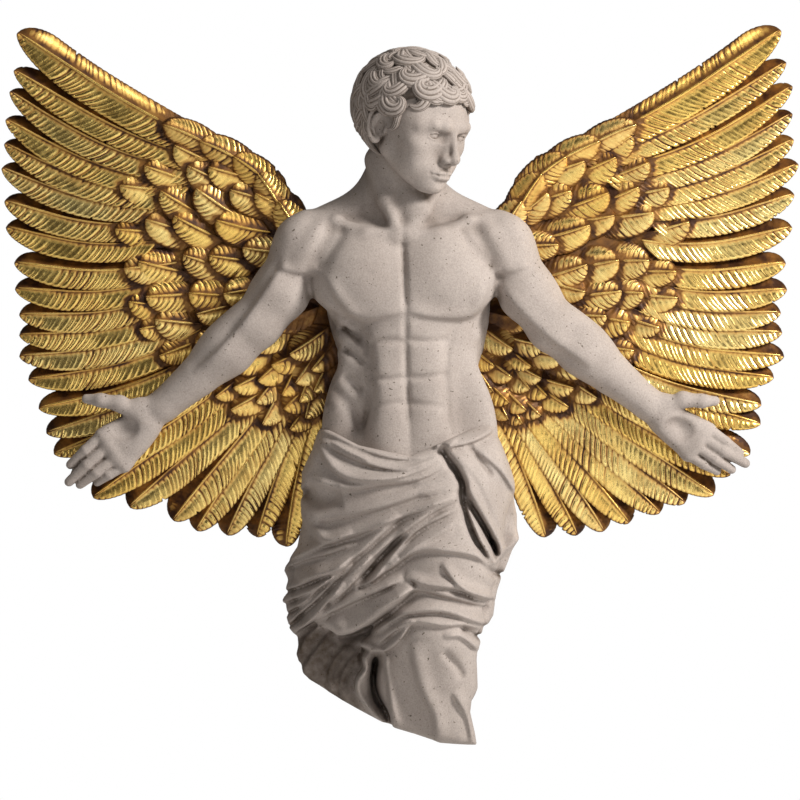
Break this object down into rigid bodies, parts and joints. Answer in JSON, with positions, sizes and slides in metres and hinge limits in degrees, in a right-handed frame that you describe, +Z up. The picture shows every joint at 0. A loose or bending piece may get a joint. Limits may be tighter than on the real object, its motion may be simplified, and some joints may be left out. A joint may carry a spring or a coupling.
{
  "type": "winged figure wall sculpture",
  "caption": "Relief wall sculpture of a half-length winged figure with outstretched arms and wrapped cloth, stone finish, gilt feathered wings, flat back that hangs on a wall.",
  "frame": {"origin": "on the flat back, at half the width and half the height", "axes": "X to the viewer's right, Y into the wall, Z up; the front looks along -Y"},
  "size_m": [1.1711, 0.2091, 1.05],
  "materials": {
    "figure": "cast resin with a matte warm grey stone finish, fine dark pits and brown in the creases",
    "wings": "antiqued gold leaf over cast resin, with a red-brown wash in the recesses"
  },
  "bodies": {
    "root": {"figure": "figure", "wing_left": "wings", "wing_right": "wings"}
  },
  "joints": []
}
